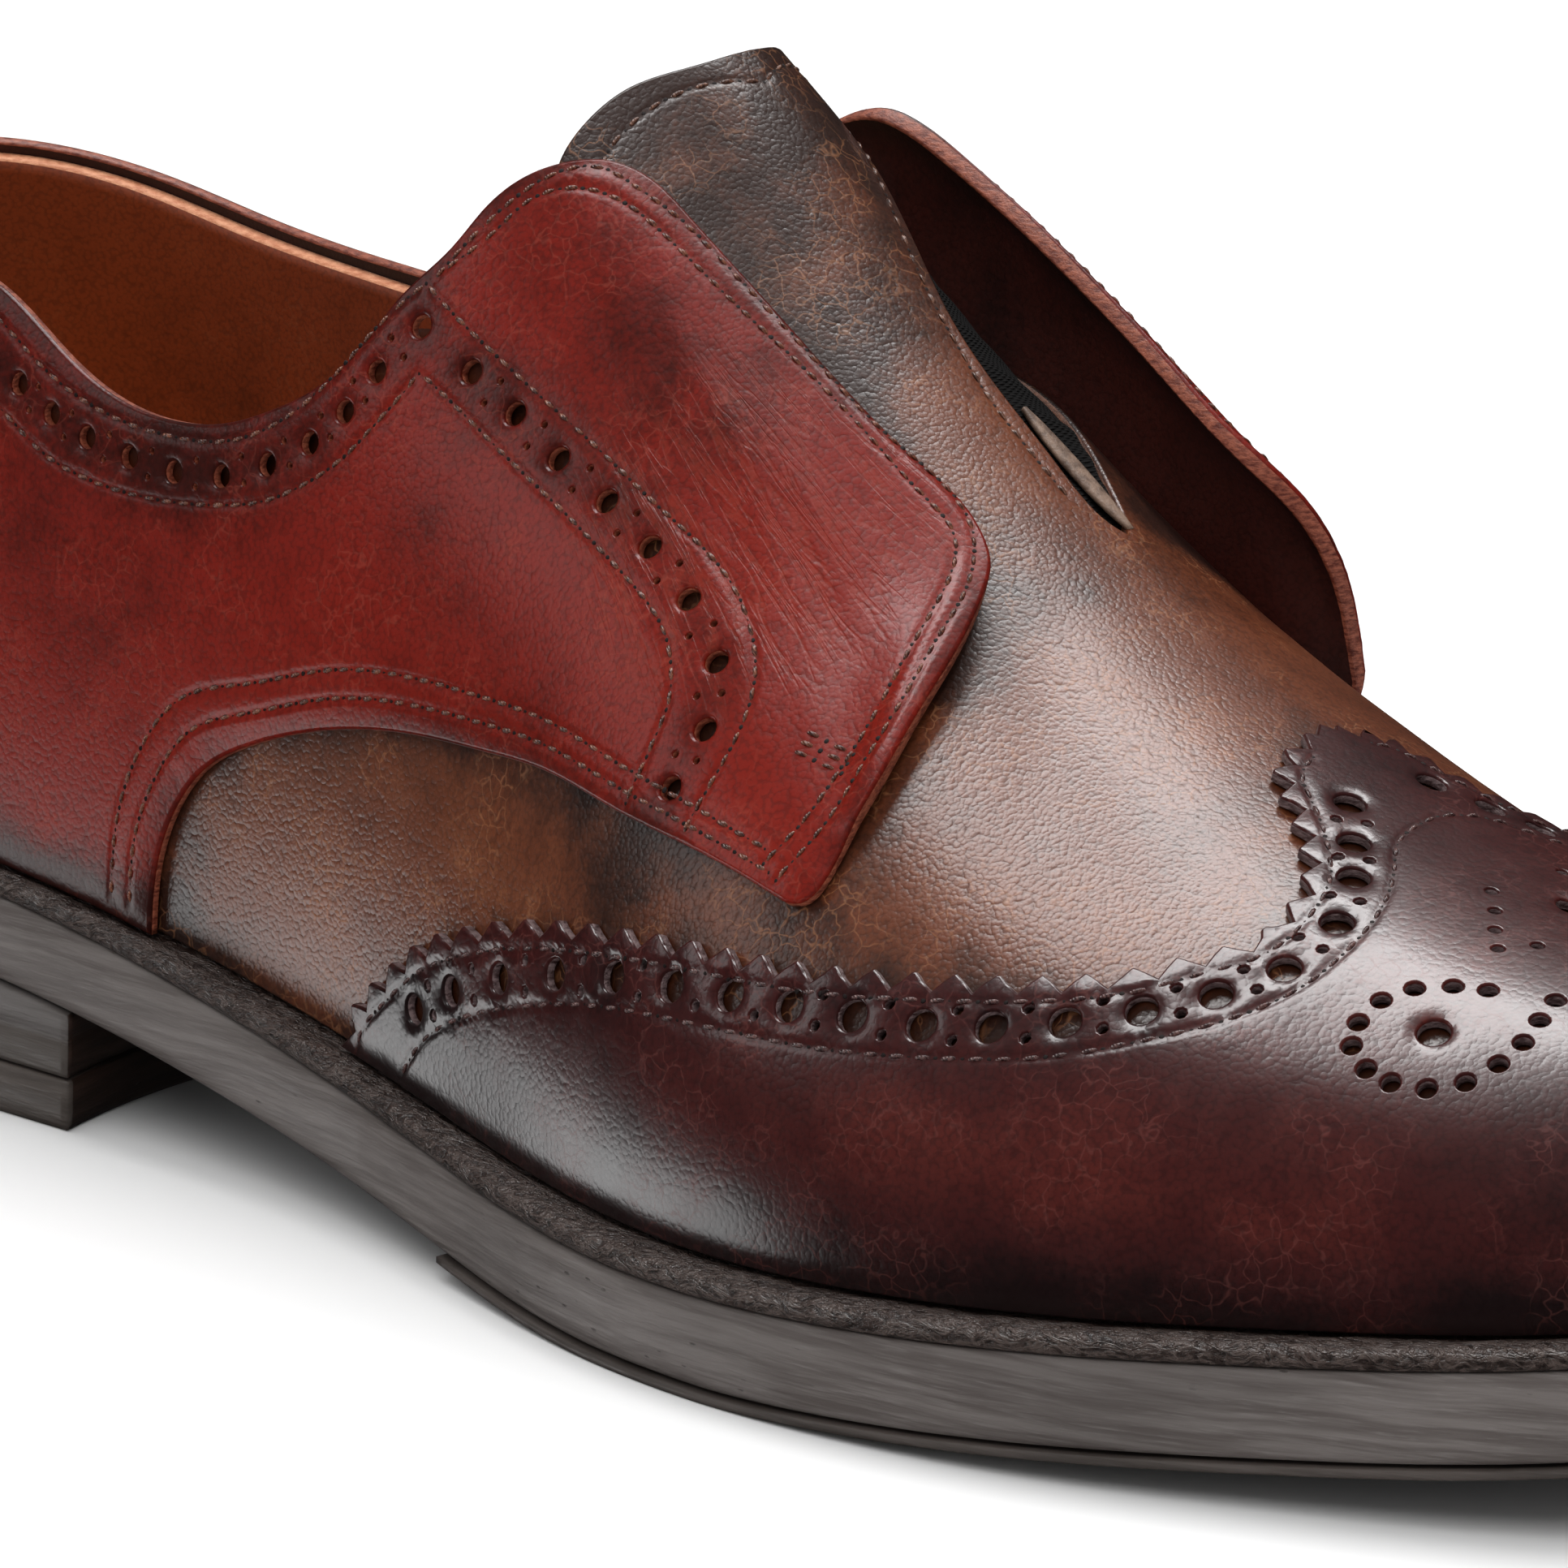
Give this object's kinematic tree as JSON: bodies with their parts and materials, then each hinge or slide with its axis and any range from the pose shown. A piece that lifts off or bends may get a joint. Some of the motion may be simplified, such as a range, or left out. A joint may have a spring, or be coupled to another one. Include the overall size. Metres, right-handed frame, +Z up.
{
  "type": "derby shoe",
  "caption": "Derby shoe with a hollow lasted upper, wingtip cap, free quarter flaps over a tongue, elastic gussets, welted sole and stacked heel.",
  "frame": {"origin": "centre of the bounding box in plan, on the ground plane", "axes": "+X towards the toe, +Y towards the medial side, +Z up"},
  "size_m": [0.2974, 0.1078, 0.1145],
  "materials": {
    "vamp": "burnished brown calf, satin polish",
    "quarter": "burnished mahogany calf, satin polish",
    "cap": "dark burgundy calf, high polish",
    "lining": "tan lining leather, matt",
    "insole": "tan sock leather, matt",
    "welt": "dark brown welt leather, waxed",
    "sole": "grey brown edge dressed sole leather",
    "heel": "stacked leather lifts, edge dressed",
    "rubber": "dark rubber, matt",
    "elastic": "black woven elastic",
    "thread": "waxed brown thread"
  },
  "bodies": {
    "root": {"outsole": "sole", "forefoot_rubber": "rubber", "welt": "welt", "heel_stack": "heel", "heel_top_piece": "rubber", "insole": "insole", "upper": "vamp", "tongue": "vamp", "quarter_lateral": "quarter", "quarter_medial": "quarter", "toe_cap": "cap", "gusset_lateral": "elastic", "gusset_medial": "elastic"}
  },
  "joints": []
}
